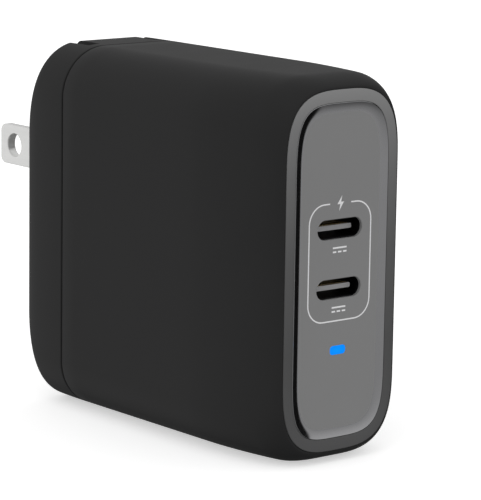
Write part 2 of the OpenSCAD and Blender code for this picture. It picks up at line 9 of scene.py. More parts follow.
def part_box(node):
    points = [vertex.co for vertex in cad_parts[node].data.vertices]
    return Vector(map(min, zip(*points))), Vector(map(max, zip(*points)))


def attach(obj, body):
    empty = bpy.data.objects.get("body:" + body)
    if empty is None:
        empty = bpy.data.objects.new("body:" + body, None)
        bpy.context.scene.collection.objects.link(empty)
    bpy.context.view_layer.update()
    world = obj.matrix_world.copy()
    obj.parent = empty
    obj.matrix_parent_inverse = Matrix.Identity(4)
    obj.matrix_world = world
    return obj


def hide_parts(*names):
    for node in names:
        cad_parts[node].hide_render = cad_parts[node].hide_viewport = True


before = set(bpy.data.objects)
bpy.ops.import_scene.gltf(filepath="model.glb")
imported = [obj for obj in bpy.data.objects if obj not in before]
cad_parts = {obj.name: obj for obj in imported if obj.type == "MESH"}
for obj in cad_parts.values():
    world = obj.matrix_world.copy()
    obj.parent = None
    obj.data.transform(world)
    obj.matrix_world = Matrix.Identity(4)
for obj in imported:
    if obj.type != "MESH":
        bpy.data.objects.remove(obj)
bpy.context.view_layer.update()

MM = 0.001

# ---------------------------------------------------------------- sizes, mm
BODY_W, BODY_H = 27.7, 56.3
MID_Z = BODY_H / 2
FRONT_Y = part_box("bezel_ring")[0][1] / MM
REAR_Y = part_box("rear_cap")[1][1] / MM
TIP_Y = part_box("blade_left")[1][1] / MM
SEAM_Y = REAR_Y - 10.5
WALL = 1.8
CAP_WALL = 1.9
GROOVE = 0.25
SIDE_BLEND, TOP_BLEND, FRONT_BEND = 17.8, 4.5, 1.6
CORNER = (7.9, 7.7, 2.0)
RING_W, RING_H = 20.8, 52.6
RING_CORNER = (RING_W / 2 - 0.02, 12.5, 3.2)
RING_T = 0.9
RING_PROUD = 0.12
OPEN_A, OPEN_B = RING_W / 2 - 1.65, RING_H / 2 - 1.85
INNER_CORNER = (OPEN_A - 0.02, 11.9, 3.9)
SKIRT_T, SKIRT_D = 1.25, 5.0
LEDGE_D, LEDGE_T, LEDGE_IN = 2.0, 1.0, 0.9
DISH_D, DISH_W = 0.35, 1.3
REAR_SIDE = (10.5, 1.3)
REAR_TOP = (3.5, 12.9)
PORT_Z = (34.3, 25.6)
PORT_W, PORT_H = 8.94, 3.2
PORT_OPEN = (8.4, 2.9)
PORT_WEB = 0.85
LIGHT_Z, LIGHT_W, LIGHT_H = 16.6, 2.9, 1.3
PIVOT_Y, PIVOT_Z = REAR_Y - 3.5, 36.6
BLADE_Z, BLADE_W, BLADE_T, PITCH = 38.1, 6.35, 1.5, 12.7
BLADE_CORNER = 1.2
BLADE_ROOT, BLADE_TAIL, TAIL_LOW = 1.6, 5.6, 1.6
HOLE_IN, HOLE_R = 3.8, 1.85
SLOT_W = 2.0
CHANNEL_T, CHANNEL_UP = 0.8, 5.8
RIB_IN, RIB_OUT, RIB_HALF_H, RIB_FRONT = 8.9, 11.3, 6.3, 2.9
SEAT_IN, SEAT_OUT, SEAT_R = 7.9, 11.1, 1.64
WINDOW_HALF_W, WINDOW_HALF_H = 8.95, 3.4
SCREW_X, SCREW_Z, SCREW_R = 10.1, 5.3, 0.75
STAKE_DOWN, STAKE_R = 10.6, 0.8
LIP_GAP, LIP_T, LIP_D = 0.1, 1.0, 3.0
PANEL_GAP, DISH_RIM, PORT_EDGE = 0.05, 0.12, 0.08
LIGHT_GAP, LIGHT_CORNER = 0.04, 0.5
SLOT_FLOOR = PIVOT_Y - 1.5 - BLADE_W / 2 - 0.25
STEPS = 22


# ---------------------------------------------------------------- outlines
def ease(t, e=2.0):
    t = max(0.0, min(1.0, t))
    return 1 - (1 - t ** e) ** (1 / e)


def rear_share(y, run):
    return ease((y - (REAR_Y - run)) / run)


def front_share(y, run):
    return ease((FRONT_Y + run - y) / run, FRONT_BEND)


def outline(a, b, cw, ch, e, steps=STEPS):
    """Rectangle of half sizes a and b with superelliptical corners, as (x, z)."""
    pts = []
    for q in range(4):
        sx = 1 if q in (0, 3) else -1
        sz = 1 if q < 2 else -1
        for i in range(steps + 1):
            t = math.radians((i if q % 2 == 0 else steps - i) * 90 / steps)
            u, v = max(0.0, math.cos(t)) ** (2 / e), max(0.0, math.sin(t)) ** (2 / e)
            pts.append((sx * (a - cw + cw * u), MID_Z + sz * (b - ch + ch * v)))
    return pts


def section(y, inset=0.0):
    """Outline of the case at depth y, moved inwards by inset."""
    f, r = front_share(y, SIDE_BLEND), rear_share(y, REAR_TOP[0])
    rs = rear_share(y, REAR_SIDE[0])
    a = BODY_W / 2 - REAR_SIDE[1] * rs - (BODY_W - RING_W) / 2 * f
    b = BODY_H / 2 - REAR_TOP[1] * r - (BODY_H - RING_H) / 2 * front_share(y, TOP_BLEND)
    cw = CORNER[0] + (RING_CORNER[0] - CORNER[0]) * f - 0.3 * REAR_SIDE[1] * rs
    ch = CORNER[1] + (RING_CORNER[1] - CORNER[1]) * f - 0.3 * REAR_TOP[1] * r
    e = CORNER[2] + (RING_CORNER[2] - CORNER[2]) * f
    return outline(a - inset, b - inset, max(1, cw - inset), max(1, ch - inset), e)


def inner_section(y):
    return section(min(y + 0.6, REAR_Y - 1), WALL)


def ring_outline(grow=0.0):
    cw, ch, e = RING_CORNER
    return outline(RING_W / 2 + grow, RING_H / 2 + grow, cw + grow, ch + grow, e)


def open_outline(grow=0.0):
    cw, ch, e = INNER_CORNER
    return outline(OPEN_A + grow, OPEN_B + grow, cw + grow, ch + grow, e)


def front_stations(y0, n=26):
    ys = [FRONT_Y + SIDE_BLEND * (1 - math.cos(math.radians(i * 90 / n))) for i in range(n + 1)]
    return [y for y in ys if y > y0 + 0.015]


def rear_stations(n=18):
    run = REAR_SIDE[0] - REAR_TOP[0]
    flat = [REAR_Y - REAR_SIDE[0] + i * run / 12 for i in range(1, 12)]
    dome = [REAR_Y - REAR_TOP[0] * (1 - math.sin(math.radians(i * 90 / n))) for i in range(n + 1)]
    return flat + dome


# ---------------------------------------------------------------- mesh tools
def new_object(name, bm, sharp=35.0, smooth=True):
    """Object from a bmesh in millimetres, smooth shaded with sharp edges kept."""
    bmesh.ops.recalc_face_normals(bm, faces=bm.faces)
    for e in bm.edges:
        if len(e.link_faces) == 2:
            e.smooth = e.calc_face_angle(0.0) < math.radians(sharp)
    for f in bm.faces:
        f.smooth = smooth
    bmesh.ops.scale(bm, vec=(MM, MM, MM), verts=bm.verts)
    me = bpy.data.meshes.new(name)
    bm.to_mesh(me)
    bm.free()
    ob = bpy.data.objects.new(name, me)
    bpy.context.scene.collection.objects.link(ob)
    return ob


def loft(bm, rings, closed=False, cap_first=False, cap_last=False):
    """Skins (y, outline) rings; closed joins the last to the first."""
    loops = [[bm.verts.new((x, y, z)) for x, z in pts] for y, pts in rings]
    n = len(loops[0])
    pairs = list(zip(loops, loops[1:] + ([loops[0]] if closed else [])))
    for a, b in pairs[: len(loops) if closed else len(loops) - 1]:
        for i in range(n):
            j = (i + 1) % n
            bm.faces.new((a[i], a[j], b[j], b[i]))
    if cap_first:
        bm.faces.new(loops[0])
    if cap_last:
        bm.faces.new(loops[-1])
    return loops


def loft_object(name, rings, closed=False, sharp=35.0):
    """Object from (y, outline) rings, capped at both ends unless closed."""
    bm = bmesh.new()
    loft(bm, rings, closed=closed, cap_first=not closed, cap_last=not closed)
    return new_object(name, bm, sharp=sharp)


def box_object(name, x0, x1, y0, y1, z0, z1):
    bm = bmesh.new()
    bmesh.ops.create_cube(bm, size=1.0)
    bmesh.ops.scale(bm, vec=(x1 - x0, y1 - y0, z1 - z0), verts=bm.verts)
    bmesh.ops.translate(bm, vec=((x0 + x1) / 2, (y0 + y1) / 2, (z0 + z1) / 2), verts=bm.verts)
    return new_object(name, bm)


def rod_object(name, x0, x1, y, z, r, axis="X", n=64):
    bm = bmesh.new()
    bmesh.ops.create_cone(bm, cap_ends=True, segments=n, radius1=r, radius2=r, depth=x1 - x0)
    turn = Matrix.Rotation(math.radians(90), 4, "Y" if axis == "X" else "X")
    bmesh.ops.transform(bm, matrix=turn, verts=bm.verts)
    mid = (x0 + x1) / 2
    move = (mid, y, z) if axis == "X" else (y, mid, z)
    bmesh.ops.translate(bm, vec=move, verts=bm.verts)
    return new_object(name, bm)


def boolean(target, cutter, how):
    """Applies one exact boolean and drops the cutter."""
    mod = target.modifiers.new("cut", "BOOLEAN")
    mod.operation, mod.solver, mod.object = how, "EXACT", cutter
    dg = bpy.context.evaluated_depsgraph_get()
    me = bpy.data.meshes.new_from_object(target.evaluated_get(dg))
    target.modifiers.clear()
    old = target.data
    target.data = me
    bpy.data.meshes.remove(old)
    bpy.data.objects.remove(cutter)


def resmooth(ob, sharp=35.0):
    bm = bmesh.new()
    bm.from_mesh(ob.data)
    bmesh.ops.remove_doubles(bm, verts=bm.verts, dist=1e-7)
    for e in bm.edges:
        e.smooth = len(e.link_faces) == 2 and e.calc_face_angle(0.0) < math.radians(sharp)
    for f in bm.faces:
        f.smooth = True
    bm.to_mesh(ob.data)
    bm.free()


def slot_points(w, h, z, n=20):
    """Round-ended slot outline."""
    r = h / 2
    pts = []
    for s, start in ((1, -90), (-1, 90)):
        for i in range(n + 1):
            t = math.radians(start + i * 180 / n)
            pts.append((s * (w / 2 - r) + r * math.cos(t), z + r * math.sin(t)))
    return pts


def round_rect_points(w, h, r, z, n=8):
    """Outline of a rectangle with round corners."""
    pts = []
    for q, (sx, sz) in enumerate(((1, 1), (-1, 1), (-1, -1), (1, -1))):
        for i in range(n + 1):
            t = math.radians(q * 90 + i * 90 / n)
            pts.append((sx * (w / 2 - r) + r * math.cos(t), z + sz * (h / 2 - r) + r * math.sin(t)))
    return pts


def plate(name, loops, y0, y1, bevel=0.0, res=3, axis="Y"):
    """Flat plate with holes: a filled 2D curve given thickness and round edges."""
    cu = bpy.data.curves.new(name, "CURVE")
    cu.dimensions = "2D"
    cu.fill_mode = "BOTH"
    for pts in loops:
        sp = cu.splines.new("POLY")
        sp.points.add(len(pts) - 1)
        for p, (u, v) in zip(sp.points, pts):
            p.co = (u * MM, v * MM, 0, 1)
        sp.use_cyclic_u = True
    cu.extrude = ((y1 - y0) / 2 - bevel) * MM
    cu.bevel_depth = bevel * MM
    cu.bevel_resolution = res
    cu.offset = -bevel * MM
    tmp = bpy.data.objects.new(name + "_c", cu)
    bpy.context.scene.collection.objects.link(tmp)
    dg = bpy.context.evaluated_depsgraph_get()
    me = bpy.data.meshes.new_from_object(tmp.evaluated_get(dg))
    bpy.data.objects.remove(tmp)
    mid = (y0 + y1) / 2 * MM
    if axis == "Y":  # curve x, y become X, Z
        m = Matrix(((1, 0, 0, 0), (0, 0, 1, mid), (0, 1, 0, 0), (0, 0, 0, 1)))
    else:  # curve x, y become Y, Z
        m = Matrix(((0, 0, 1, mid), (1, 0, 0, 0), (0, 1, 0, 0), (0, 0, 0, 1)))
    me.transform(m)
    ob = bpy.data.objects.new(name, me)
    bpy.context.scene.collection.objects.link(ob)
    bm = bmesh.new()
    bm.from_mesh(me)
    bmesh.ops.remove_doubles(bm, verts=bm.verts, dist=2e-7)
    bmesh.ops.recalc_face_normals(bm, faces=bm.faces)
    for e in bm.edges:
        e.smooth = len(e.link_faces) == 2 and e.calc_face_angle(0.0) < math.radians(40)
    for f in bm.faces:
        f.smooth = True
    bm.to_mesh(me)
    bm.free()
    return ob


# ---------------------------------------------------------------- materials
def nodes_of(name):
    mat = bpy.data.materials.new(name)
    mat.use_nodes = True
    nt = mat.node_tree
    return mat, nt, nt.nodes["Principled BSDF"]


def plastic(name, colour, rough, grain_mm=0.25, grain=0.03, vary=0.12, spec=0.5, edge_mm=0.0,
            metallic=0.0, coat=0.0, coat_rough=0.1, rough_vary=0.06):
    """Moulded surface: fine grain bump, slow colour drift, roughness drift."""
    mat, nt, bsdf = nodes_of(name)
    n, l = nt.nodes, nt.links
    co = n.new("ShaderNodeTexCoord")
    fine = n.new("ShaderNodeTexNoise")
    fine.inputs["Scale"].default_value = 1.0 / (grain_mm * MM)
    fine.inputs["Detail"].default_value = 3
    slow = n.new("ShaderNodeTexNoise")
    slow.inputs["Scale"].default_value = 60
    slow.inputs["Detail"].default_value = 4
    l.new(co.outputs["Object"], fine.inputs["Vector"])
    l.new(co.outputs["Object"], slow.inputs["Vector"])
    ramp = n.new("ShaderNodeValToRGB")
    lo = [c * (1 - vary) for c in colour] + [1]
    hi = [min(1, c * (1 + vary)) for c in colour] + [1]
    ramp.color_ramp.elements[0].position = 0.3
    ramp.color_ramp.elements[0].color = lo
    ramp.color_ramp.elements[1].position = 0.7
    ramp.color_ramp.elements[1].color = hi
    l.new(slow.outputs["Fac"], ramp.inputs["Fac"])
    l.new(ramp.outputs["Color"], bsdf.inputs["Base Color"])
    rr = n.new("ShaderNodeMapRange")
    rr.inputs["To Min"].default_value = max(0.0, rough - rough_vary)
    rr.inputs["To Max"].default_value = min(1.0, rough + rough_vary)
    l.new(slow.outputs["Fac"], rr.inputs["Value"])
    l.new(rr.outputs["Result"], bsdf.inputs["Roughness"])
    bump = n.new("ShaderNodeBump")
    bump.inputs["Strength"].default_value = grain
    bump.inputs["Distance"].default_value = 0.05 * MM
    l.new(fine.outputs["Fac"], bump.inputs["Height"])
    if edge_mm:
        bev = n.new("ShaderNodeBevel")
        bev.samples = 6
        bev.inputs["Radius"].default_value = edge_mm * MM
        l.new(bev.outputs["Normal"], bump.inputs["Normal"])
    l.new(bump.outputs["Normal"], bsdf.inputs["Normal"])
    bsdf.inputs["Specular IOR Level"].default_value = spec
    bsdf.inputs["Metallic"].default_value = metallic
    bsdf.inputs["Coat Weight"].default_value = coat
    bsdf.inputs["Coat Roughness"].default_value = coat_rough
    return mat


def paint(ob, mat):
    ob.data.materials.clear()
    ob.data.materials.append(mat)


def repaint(node, mat, bevel_mm=0.0):
    """Gives a carried-over CAD node a material, and round edges if asked."""
    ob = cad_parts[node]
    if ob.material_slots:
        for s in ob.material_slots:
            s.material = mat
    else:
        ob.data.materials.append(mat)
    if bevel_mm:
        m = ob.modifiers.new("edges", "BEVEL")
        m.width, m.segments = bevel_mm * MM, 3
        m.limit_method, m.angle_limit = "ANGLE", math.radians(40)
        m.harden_normals = False


case_mat = plastic("case_plastic", (0.0252, 0.0252, 0.0254), 0.55, grain_mm=0.16, grain=0.06,
                   spec=0.07, edge_mm=0.18, vary=0.05)
carrier_mat = plastic("carrier_plastic", (0.012, 0.012, 0.0125), 0.48, grain_mm=0.2, grain=0.08)
panel_mat = plastic("panel_plastic", (0.246, 0.246, 0.247), 0.45, grain_mm=0.12, grain=0.02,
                    vary=0.02, spec=0.2)
black_mat = plastic("black_parts", (0.008, 0.008, 0.009), 0.5)
ink_mat = plastic("print_ink", (0.86, 0.86, 0.87), 0.5, vary=0.02)


def ring_material():
    """Satin grey metal-look plastic with painted light and shade: its base colour is lighter at the top of
    the ring and darker towards its foot.
    """
    mat, nt, bsdf = nodes_of("bezel_satin_painted_shade")
    n, l = nt.nodes, nt.links
    co = n.new("ShaderNodeTexCoord")
    sep = n.new("ShaderNodeSeparateXYZ")
    l.new(co.outputs["Object"], sep.inputs["Vector"])
    # Painted shade: the base colour follows height, lighter at the top and darker at the foot, in place of
    # light that falls off downwards.
    painted_shade_height = n.new("ShaderNodeMapRange")
    painted_shade_height.inputs["From Min"].default_value = 0.0
    painted_shade_height.inputs["From Max"].default_value = BODY_H * MM
    l.new(sep.outputs["Z"], painted_shade_height.inputs["Value"])
    ramp = n.new("ShaderNodeValToRGB")
    el = ramp.color_ramp.elements
    el[0].position, el[0].color = 0.05, (0.090, 0.090, 0.091, 1)
    el[1].position, el[1].color = 0.97, (0.265, 0.265, 0.266, 1)
    for pos, v in ((0.3, 0.081), (0.55, 0.105), (0.75, 0.154), (0.88, 0.207)):
        e = el.new(pos)
        e.color = (v, v, v * 1.005, 1)
    l.new(painted_shade_height.outputs["Result"], ramp.inputs["Fac"])
    l.new(ramp.outputs["Color"], bsdf.inputs["Base Color"])
    tex = n.new("ShaderNodeTexNoise")
    tex.inputs["Scale"].default_value = 5000
    l.new(co.outputs["Object"], tex.inputs["Vector"])
    bump = n.new("ShaderNodeBump")
    bump.inputs["Strength"].default_value = 0.03
    bump.inputs["Distance"].default_value = 0.03 * MM
    l.new(tex.outputs["Fac"], bump.inputs["Height"])
    l.new(bump.outputs["Normal"], bsdf.inputs["Normal"])
    rr = n.new("ShaderNodeMapRange")
    rr.inputs["To Min"].default_value = 0.30
    rr.inputs["To Max"].default_value = 0.38
    l.new(tex.outputs["Fac"], rr.inputs["Value"])
    l.new(rr.outputs["Result"], bsdf.inputs["Roughness"])
    bsdf.inputs["Specular IOR Level"].default_value = 0.3
    return mat


def metal(name, colour, rough, vary=0.06, scratch=0.02, stretch=(1, 1, 1), scale=900, metallic=1.0):
    mat, nt, bsdf = nodes_of(name)
    n, l = nt.nodes, nt.links
    co = n.new("ShaderNodeTexCoord")
    mp = n.new("ShaderNodeMapping")
    mp.inputs["Scale"].default_value = stretch
    l.new(co.outputs["Object"], mp.inputs["Vector"])
    tex = n.new("ShaderNodeTexNoise")
    tex.inputs["Scale"].default_value = scale
    tex.inputs["Detail"].default_value = 5
    l.new(mp.outputs["Vector"], tex.inputs["Vector"])
    ramp = n.new("ShaderNodeValToRGB")
    ramp.color_ramp.elements[0].color = [c * (1 - vary) for c in colour] + [1]
    ramp.color_ramp.elements[1].color = [min(1, c * (1 + vary)) for c in colour] + [1]
    l.new(tex.outputs["Fac"], ramp.inputs["Fac"])
    l.new(ramp.outputs["Color"], bsdf.inputs["Base Color"])
    rr = n.new("ShaderNodeMapRange")
    rr.inputs["To Min"].default_value = max(0.02, rough - 0.05)
    rr.inputs["To Max"].default_value = rough + 0.05
    l.new(tex.outputs["Fac"], rr.inputs["Value"])
    l.new(rr.outputs["Result"], bsdf.inputs["Roughness"])
    bump = n.new("ShaderNodeBump")
    bump.inputs["Strength"].default_value = scratch
    bump.inputs["Distance"].default_value = 0.02 * MM
    l.new(tex.outputs["Fac"], bump.inputs["Height"])
    l.new(bump.outputs["Normal"], bsdf.inputs["Normal"])
    bsdf.inputs["Metallic"].default_value = metallic
    return mat


def glow_material():
    """Lit blue window, a little brighter at its middle."""
    mat, nt, bsdf = nodes_of("blue_light")
    n, l = nt.nodes, nt.links
    co = n.new("ShaderNodeTexCoord")
    mp = n.new("ShaderNodeMapping")
    mp.inputs["Location"].default_value = (0, 0, -LIGHT_Z * MM / (LIGHT_H * MM))
    mp.inputs["Scale"].default_value = (1 / (LIGHT_W * MM), 0, 1 / (LIGHT_H * MM))
    l.new(co.outputs["Object"], mp.inputs["Vector"])
    grad = n.new("ShaderNodeTexGradient")
    grad.gradient_type = "SPHERICAL"
    l.new(mp.outputs["Vector"], grad.inputs["Vector"])
    ramp = n.new("ShaderNodeValToRGB")
    ramp.color_ramp.elements[0].position = 0.3
    ramp.color_ramp.elements[0].color = (0.0, 0.24, 0.97, 1)
    ramp.color_ramp.elements[1].position = 0.9
    ramp.color_ramp.elements[1].color = (0.0, 0.29, 0.97, 1)
    l.new(grad.outputs["Fac"], ramp.inputs["Fac"])
    l.new(ramp.outputs["Color"], bsdf.inputs["Emission Color"])
    bsdf.inputs["Emission Strength"].default_value = 1.0
    bsdf.inputs["Base Color"].default_value = (0.0, 0.01, 0.04, 1)
    bsdf.inputs["Roughness"].default_value = 0.6
    bsdf.inputs["Specular IOR Level"].default_value = 0.1
    return mat


ring_mat = ring_material()
glow_mat = glow_material()
dish_mat = metal("dish_border", (0.42, 0.42, 0.43), 0.11, vary=0.02, scratch=0.002)
blade_mat = metal("blade_nickel", (0.80, 0.80, 0.79), 0.22, stretch=(1, 0.15, 1), scale=1500, metallic=0.45)
# Painted shade: the port shells get a near-black metal colour that stands in for the shade inside the port
# recesses.
port_shade_mat = metal("port_shell_painted_shade", (0.03, 0.03, 0.032), 0.4)
gold_mat = metal("contact_gold", (0.75, 0.52, 0.2), 0.25)
tongue_mat = plastic("tongue_plastic", (0.34, 0.34, 0.345), 0.45, grain_mm=0.1)

# ---------------------------------------------------------------- case shell

def case_shell():
    y0 = FRONT_Y + RING_PROUD
    rings = [(FRONT_Y + RING_T, ring_outline(0.02)), (y0 + 0.07, ring_outline(0.02)),
             (y0 + 0.02, ring_outline(0.05)), (y0, ring_outline(0.1)),
             (y0, section(y0, 0.08)), (y0 + 0.02, section(y0 + 0.03, 0.02))]
    rings += [(y, section(y)) for y in front_stations(y0 + 0.04)]
    span = [FRONT_Y + SIDE_BLEND + i * (SEAM_Y - FRONT_Y - SIDE_BLEND) / 10 for i in range(1, 10)]
    rings += [(y, section(y)) for y in span]
    rings += [(SEAM_Y - 0.14, section(SEAM_Y)), (SEAM_Y - 0.05, section(SEAM_Y, 0.03)),
              (SEAM_Y, section(SEAM_Y, 0.12)), (SEAM_Y, section(SEAM_Y, WALL))]
    ys = [SEAM_Y - 6, FRONT_Y + 16, FRONT_Y + 12, FRONT_Y + 9, FRONT_Y + 6, FRONT_Y + 4.5, FRONT_Y + 3.5]
    rings += [(y, inner_section(y)) for y in ys]
    skirt = SKIRT_T + 0.05
    rings += [(FRONT_Y + 3.5, open_outline(skirt)), (FRONT_Y + RING_T, open_outline(skirt))]
    return loft_object("case_shell", rings, closed=True, sharp=32)


shell = case_shell()
paint(shell, case_mat)
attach(shell, "case")
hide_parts("main_shell")


# ---------------------------------------------------------------- rear cap
def cap_shell():
    """Domed cap with its lip, blade channels, bearing ribs, window and slots."""
    y0 = SEAM_Y + GROOVE
    rings = [(SEAM_Y, section(y0, 0.32)), (y0, section(y0, 0.32)), (y0, section(y0, 0.12)),
             (y0 + 0.05, section(y0, 0.03)), (y0 + 0.14, section(y0))]
    rings += [(y, section(y)) for y in rear_stations() if y > y0 + 0.2]
    cap = loft_object("cap_shell", rings)
    inner_face = REAR_Y - CAP_WALL
    ys = [SEAM_Y - 1, SEAM_Y + 1, SEAM_Y + 3, SEAM_Y + 5, SEAM_Y + 7, inner_face]
    boolean(cap, loft_object("cavity", [(y, inner_section(y)) for y in ys]), "DIFFERENCE")
    lip_outer = section(SEAM_Y - 4, WALL + LIP_GAP)
    lip_inner = section(SEAM_Y - 4, WALL + LIP_GAP + LIP_T)
    lip = loft_object("lip", [(SEAM_Y - LIP_D, lip_outer), (SEAM_Y + 1.5, lip_outer),
                              (SEAM_Y + 1.5, lip_inner), (SEAM_Y - LIP_D, lip_inner)], closed=True)
    boolean(cap, lip, "UNION")
    for s in (-1, 1):
        x, reach = s * PITCH / 2, SLOT_W / 2 + CHANNEL_T
        channel = box_object("channel", x - reach, x + reach, SLOT_FLOOR - CHANNEL_T, REAR_Y,
                             PIVOT_Z + CHANNEL_UP, BODY_H)
        ys = [y for y in [y0] + rear_stations(8) if y > SEAM_Y + 0.2]
        boolean(channel, loft_object("trim", [(y, section(y, 0.6)) for y in ys]), "INTERSECT")
        boolean(cap, channel, "UNION")
        xa, xb = (RIB_IN, RIB_OUT) if s > 0 else (-RIB_OUT, -RIB_IN)
        rib = box_object("rib", xa, xb, PIVOT_Y - RIB_FRONT, inner_face + 0.5,
                         PIVOT_Z - RIB_HALF_H, PIVOT_Z + RIB_HALF_H)
        boolean(cap, rib, "UNION")
    stake = rod_object("stake", inner_face - 1, inner_face + 0.5, 0, PIVOT_Z - STAKE_DOWN, STAKE_R, "Y")
    boolean(cap, stake, "UNION")
    window = box_object("window", -WINDOW_HALF_W, WINDOW_HALF_W, inner_face - 1, REAR_Y + 1,
                        PIVOT_Z - WINDOW_HALF_H, PIVOT_Z + WINDOW_HALF_H)
    boolean(cap, window, "DIFFERENCE")
    for s in (-1, 1):
        x = s * PITCH / 2
        slot = box_object("slot", x - SLOT_W / 2, x + SLOT_W / 2, SLOT_FLOOR, REAR_Y + 1, PIVOT_Z, BODY_H + 1)
        boolean(cap, slot, "DIFFERENCE")
        xa, xb = (SEAT_IN, SEAT_OUT) if s > 0 else (-SEAT_OUT, -SEAT_IN)
        boolean(cap, rod_object("seat", xa, xb, PIVOT_Y, PIVOT_Z, SEAT_R), "DIFFERENCE")
        mouth = box_object("mouth", xa, xb, PIVOT_Y - 4, PIVOT_Y, PIVOT_Z - SEAT_R, PIVOT_Z + SEAT_R)
        boolean(cap, mouth, "DIFFERENCE")
        for t in (-1, 1):
            hole = rod_object("hole", PIVOT_Y - 4, PIVOT_Y + 0.5, s * SCREW_X, PIVOT_Z + t * SCREW_Z,
                              SCREW_R, "Y", 24)
            boolean(cap, hole, "DIFFERENCE")
    resmooth(cap, 32)
    return cap


cap = cap_shell()
paint(cap, case_mat)
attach(cap, "case")
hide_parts("rear_cap")


# ---------------------------------------------------------------- bezel ring
def bezel_frame():
    """Ring with round front edges, a ledge for the panel and a skirt behind."""
    r = 0.1
    f = FRONT_Y
    rings = [(f + RING_T, ring_outline()), (f + r, ring_outline())]
    for deg in (22.5, 45, 67.5, 90):
        t = math.radians(deg)
        rings.append((f + r * (1 - math.sin(t)), ring_outline(-r * (1 - math.cos(t)))))
    for deg in (90, 67.5, 45, 22.5, 0):
        t = math.radians(deg)
        rings.append((f + r * (1 - math.sin(t)), open_outline(r * (1 - math.cos(t)))))
    rings += [(f + LEDGE_D, open_outline()), (f + LEDGE_D, open_outline(-LEDGE_IN)),
              (f + LEDGE_D + LEDGE_T, open_outline(-LEDGE_IN)), (f + LEDGE_D + LEDGE_T, open_outline()),
              (f + SKIRT_D, open_outline()), (f + SKIRT_D, open_outline(SKIRT_T)),
              (f + RING_T, open_outline(SKIRT_T))]
    return loft_object("bezel_frame", rings, closed=True, sharp=30)


bezel = bezel_frame()
paint(bezel, ring_mat)
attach(bezel, "case")
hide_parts("bezel_ring")


# ---------------------------------------------------------------- panel
def panel_plate():
    """Panel with a hollow dish border, a flat field and two-step port openings."""
    y_flat = FRONT_Y + DISH_D
    rings = [(FRONT_Y + LEDGE_D, open_outline(-PANEL_GAP)), (FRONT_Y + 0.05, open_outline(-PANEL_GAP)),
             (FRONT_Y + 0.03, open_outline(-0.1))]
    steps = 14
    for i in range(steps + 1):
        share = i / steps
        rings.append((y_flat - (DISH_D - 0.04) * (1 - share) ** 2, open_outline(-DISH_RIM - DISH_W * share)))
    ob = loft_object("panel_plate", rings, sharp=40)
    web_y, end_y = FRONT_Y + PORT_WEB, FRONT_Y + LEDGE_D + 1
    w, h = PORT_OPEN
    for z in PORT_Z:
        wide = slot_points(w + 2 * PORT_EDGE, h + 2 * PORT_EDGE, z)
        rings = [(y_flat - 0.3, wide), (y_flat, wide)]
        for deg in (30, 60, 90):
            grow = 2 * PORT_EDGE * (1 - math.cos(math.radians(90 - deg)))
            y = y_flat + PORT_EDGE * math.sin(math.radians(deg))
            rings.append((y, slot_points(w + grow, h + grow, z)))
        pocket = slot_points(PORT_W + 0.16, PORT_H + 0.16, z)
        rings += [(web_y, slot_points(w, h, z)), (web_y, pocket), (end_y, pocket)]
        boolean(ob, loft_object("port_cut", rings), "DIFFERENCE")
    window = round_rect_points(LIGHT_W + LIGHT_GAP, LIGHT_H + LIGHT_GAP, LIGHT_CORNER, LIGHT_Z)
    boolean(ob, loft_object("light_cut", [(FRONT_Y - 1, window), (end_y, window)]), "DIFFERENCE")
    resmooth(ob, 30)
    paint(ob, panel_mat)
    ob.data.materials.append(dish_mat)
    for f in ob.data.polygons:
        f.use_smooth = abs(f.normal.y) < 0.9999
        y = f.center.y / MM
        off_ports = abs(f.center.x / MM) > PORT_W / 2 + 0.3 or not 22 < f.center.z / MM < 37
        if FRONT_Y + 0.03 < y < y_flat - 0.0005 and f.use_smooth and off_ports:
            f.material_index = 1
    return ob


panel = panel_plate()
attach(panel, "case")
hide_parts("front_panel")

# ---------------------------------------------------------------- printed marks
INK_T = 0.015
INK_Y = FRONT_Y + DISH_D
FRAME_W, FRAME_TOP, FRAME_BOTTOM, FRAME_R, FRAME_LINE = 11.66, 38.05, 20.93, 2.8, 0.2
GAP_HALF = 2.0


def stroke_outline(path, w):
    """Closed outline of a line of width w that follows path."""
    left, right = [], []
    for i, p in enumerate(path):
        a, b = path[max(0, i - 1)], path[min(len(path) - 1, i + 1)]
        dx, dz = b[0] - a[0], b[1] - a[1]
        k = w / 2 / math.hypot(dx, dz)
        left.append((p[0] - dz * k, p[1] + dx * k))
        right.append((p[0] + dz * k, p[1] - dx * k))
    return left + right[::-1]


def frame_path():
    """Round-cornered line with a gap at the middle of its top."""
    zt, zb, hw, r = FRAME_TOP, FRAME_BOTTOM, FRAME_W / 2, FRAME_R
    corners = ((hw - r, zt - r, 90), (hw - r, zb + r, 0), (-hw + r, zb + r, -90), (-hw + r, zt - r, -180))
    pts = [(GAP_HALF, zt)]
    for cx, cz, start in corners:
        for i in range(10):
            t = math.radians(start - i * 10)
            pts.append((cx + r * math.cos(t), cz + r * math.sin(t)))
    return pts + [(-GAP_HALF, zt)]


def bolt_points(x, z, h):
    shape = ((0.12, 0.5), (-0.28, -0.06), (-0.03, -0.06), (-0.12, -0.5), (0.28, 0.08), (0.03, 0.08))
    return [(x + u * h, z + v * h) for u, v in shape]


def bar_points(x, z, w, h):
    return [(x - w / 2, z - h / 2), (x + w / 2, z - h / 2), (x + w / 2, z + h / 2), (x - w / 2, z + h / 2)]


marks = [stroke_outline(frame_path(), FRAME_LINE), bolt_points(0, FRAME_TOP, 2.2)]
for z in PORT_Z:
    zc = z - 3.0
    marks.append(bar_points(0, zc + 0.3, 2.6, 0.24))
    marks += [bar_points(dx, zc - 0.3, 0.66, 0.24) for dx in (-0.97, 0, 0.97)]
ink = plate("printed_marks", marks, INK_Y - INK_T, INK_Y + 0.005)
paint(ink, ink_mat)
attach(ink, "case")

